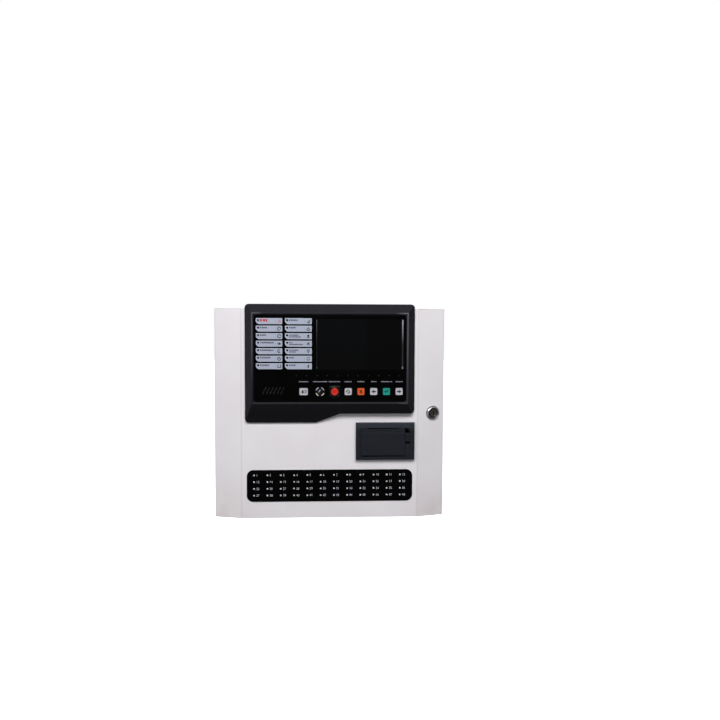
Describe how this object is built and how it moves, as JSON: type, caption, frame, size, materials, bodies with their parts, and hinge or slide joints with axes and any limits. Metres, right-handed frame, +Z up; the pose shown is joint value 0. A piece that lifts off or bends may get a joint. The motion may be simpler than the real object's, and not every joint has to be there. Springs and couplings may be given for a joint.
{
  "type": "fire alarm control panel",
  "caption": "Wall cabinet with a hinged winged door, dark fascia with screen, keys and key switch, a ticket printer, a zone strip and a cam lock.",
  "frame": {"origin": "centre of the wall face of the back sheet", "axes": "+X right for someone facing the panel, +Y into the wall, +Z up; the door faces -Y"},
  "size_m": [0.43, 0.1338, 0.4003],
  "materials": {
    "cabinet_paint": "fine textured powder coat",
    "zinc_steel": "zinc plated sheet",
    "chrome_steel": "nickel plated",
    "brass": "turned",
    "fascia_plastic": "fine spark texture",
    "gloss_black": "polished",
    "clear_plastic": "clear moulding",
    "board_green": "solder resist",
    "key_grey": "satin",
    "key_orange": "satin",
    "key_teal": "satin",
    "evac_red": "satin",
    "black_rubber": "matt",
    "terminal_green": "moulded",
    "battery_grey": "moulded",
    "fuse_black": "moulded",
    "paper": "thermal paper",
    "display_grey": "pressed frame"
  },
  "bodies": {
    "box": {"back_sheet": "cabinet_paint", "box_wall_left": "cabinet_paint", "box_wall_right": "cabinet_paint", "box_wall_top": "cabinet_paint", "box_wall_bottom": "cabinet_paint", "cable_grommet_left": "black_rubber", "cable_grommet_centre": "black_rubber", "cable_grommet_right": "black_rubber", "door_seal": "black_rubber", "earth_stud": "brass", "chassis_plate": "zinc_steel", "main_board": "board_green", "terminal_block_loops": "terminal_green", "terminal_block_outputs": "terminal_green", "terminal_block_relays": "terminal_green", "power_supply_case": "zinc_steel", "mains_terminal_block": "key_grey", "fuse_holder": "fuse_black", "battery_left": "battery_grey", "battery_right": "battery_grey", "battery_strap": "zinc_steel", "hinge_box_leaf_upper": "zinc_steel", "hinge_box_leaf_lower": "zinc_steel", "hinge_pin_upper": "chrome_steel", "hinge_pin_lower": "chrome_steel"},
    "door": {"door_panel": "cabinet_paint", "hinge_door_leaf_upper": "zinc_steel", "hinge_door_leaf_lower": "zinc_steel", "fascia_bezel": "fascia_plastic", "fascia_overlay": "gloss_black", "display_module": "display_grey", "fascia_board": "board_green", "speaker": "black_rubber", "key_switch_barrel": "fascia_plastic", "evac_housing": "fascia_plastic", "evac_cover_pin": "chrome_steel", "zone_overlay": "gloss_black", "zone_led_board": "board_green", "lock_body": "chrome_steel", "lock_nut": "chrome_steel", "printer_bezel": "fascia_plastic", "printer_chassis": "fascia_plastic", "thermal_head": "zinc_steel"},
    "key_function": {"key_function": "key_grey"},
    "key_reset": {"key_reset": "key_grey"},
    "key_mute": {"key_mute": "key_orange"},
    "key_left": {"key_left": "key_grey"},
    "key_confirm": {"key_confirm": "key_teal"},
    "key_right": {"key_right": "key_grey"},
    "key_switch": {"key_switch_plug": "chrome_steel"},
    "evac_button": {"evac_button": "evac_red"},
    "evac_cover": {"evac_cover": "clear_plastic"},
    "lock": {"lock_plug": "chrome_steel", "lock_cam": "zinc_steel"},
    "printer_door": {"printer_door": "fascia_plastic"},
    "platen": {"platen_roller": "black_rubber"},
    "printer_latch": {"printer_latch": "fascia_plastic"},
    "feed_button": {"feed_button": "fascia_plastic"},
    "paper_roll": {"paper_roll": "paper"}
  },
  "joints": [
    {"name": "door_hinge", "type": "hinge", "parent": "box", "child": "door", "pos_m": [-0.2105, -0.086, 0], "axis": [0, 0, 1], "range_deg": [-110, 0]},
    {"name": "function_press", "type": "slide", "parent": "door", "child": "key_function", "axis": [0, 1, 0], "range_m": [0, 0.001], "stiffness_N_per_m": 300},
    {"name": "reset_press", "type": "slide", "parent": "door", "child": "key_reset", "axis": [0, 1, 0], "range_m": [0, 0.001], "stiffness_N_per_m": 300},
    {"name": "mute_press", "type": "slide", "parent": "door", "child": "key_mute", "axis": [0, 1, 0], "range_m": [0, 0.001], "stiffness_N_per_m": 300},
    {"name": "left_press", "type": "slide", "parent": "door", "child": "key_left", "axis": [0, 1, 0], "range_m": [0, 0.001], "stiffness_N_per_m": 300},
    {"name": "confirm_press", "type": "slide", "parent": "door", "child": "key_confirm", "axis": [0, 1, 0], "range_m": [0, 0.001], "stiffness_N_per_m": 300},
    {"name": "right_press", "type": "slide", "parent": "door", "child": "key_right", "axis": [0, 1, 0], "range_m": [0, 0.001], "stiffness_N_per_m": 300},
    {"name": "key_switch_turn", "type": "hinge", "parent": "door", "child": "key_switch", "pos_m": [-0.0189, -0.126, 0.0433], "axis": [0, -1, 0], "range_deg": [0, 90]},
    {"name": "evac_press", "type": "slide", "parent": "door", "child": "evac_button", "axis": [0, 1, 0], "range_m": [0, 0.0025], "stiffness_N_per_m": 400},
    {"name": "evac_cover_hinge", "type": "hinge", "parent": "door", "child": "evac_cover", "pos_m": [0.0081, -0.1306, 0.05205], "axis": [-1, 0, 0], "range_deg": [0, 95]},
    {"name": "lock_turn", "type": "hinge", "parent": "door", "child": "lock", "pos_m": [0.194, -0.10106, 0], "axis": [0.29, -0.957, 0], "range_deg": [0, 90]},
    {"name": "printer_door_hinge", "type": "hinge", "parent": "door", "child": "printer_door", "pos_m": [0.099, -0.1165, -0.077], "axis": [1, 0, 0], "range_deg": [0, 80]},
    {"name": "platen_spin", "type": "hinge", "parent": "printer_door", "child": "platen", "pos_m": [0.099, -0.1115, -0.033], "axis": [1, 0, 0], "continuous": true},
    {"name": "printer_latch_pull", "type": "hinge", "parent": "door", "child": "printer_latch", "pos_m": [0.1453, -0.117, -0.0372], "axis": [-1, 0, 0], "range_deg": [0, 25], "stiffness_Nm_per_rad": 0.02},
    {"name": "feed_press", "type": "slide", "parent": "door", "child": "feed_button", "axis": [0, 1, 0], "range_m": [0, 0.0006], "stiffness_N_per_m": 300},
    {"name": "paper_roll_spin", "type": "hinge", "parent": "door", "child": "paper_roll", "pos_m": [0.099, -0.088, -0.0571], "axis": [1, 0, 0], "continuous": true}
  ],
  "couplings": [
    {"joint": "platen_spin", "follows": "paper_roll_spin", "ratio": 4.5}
  ]
}
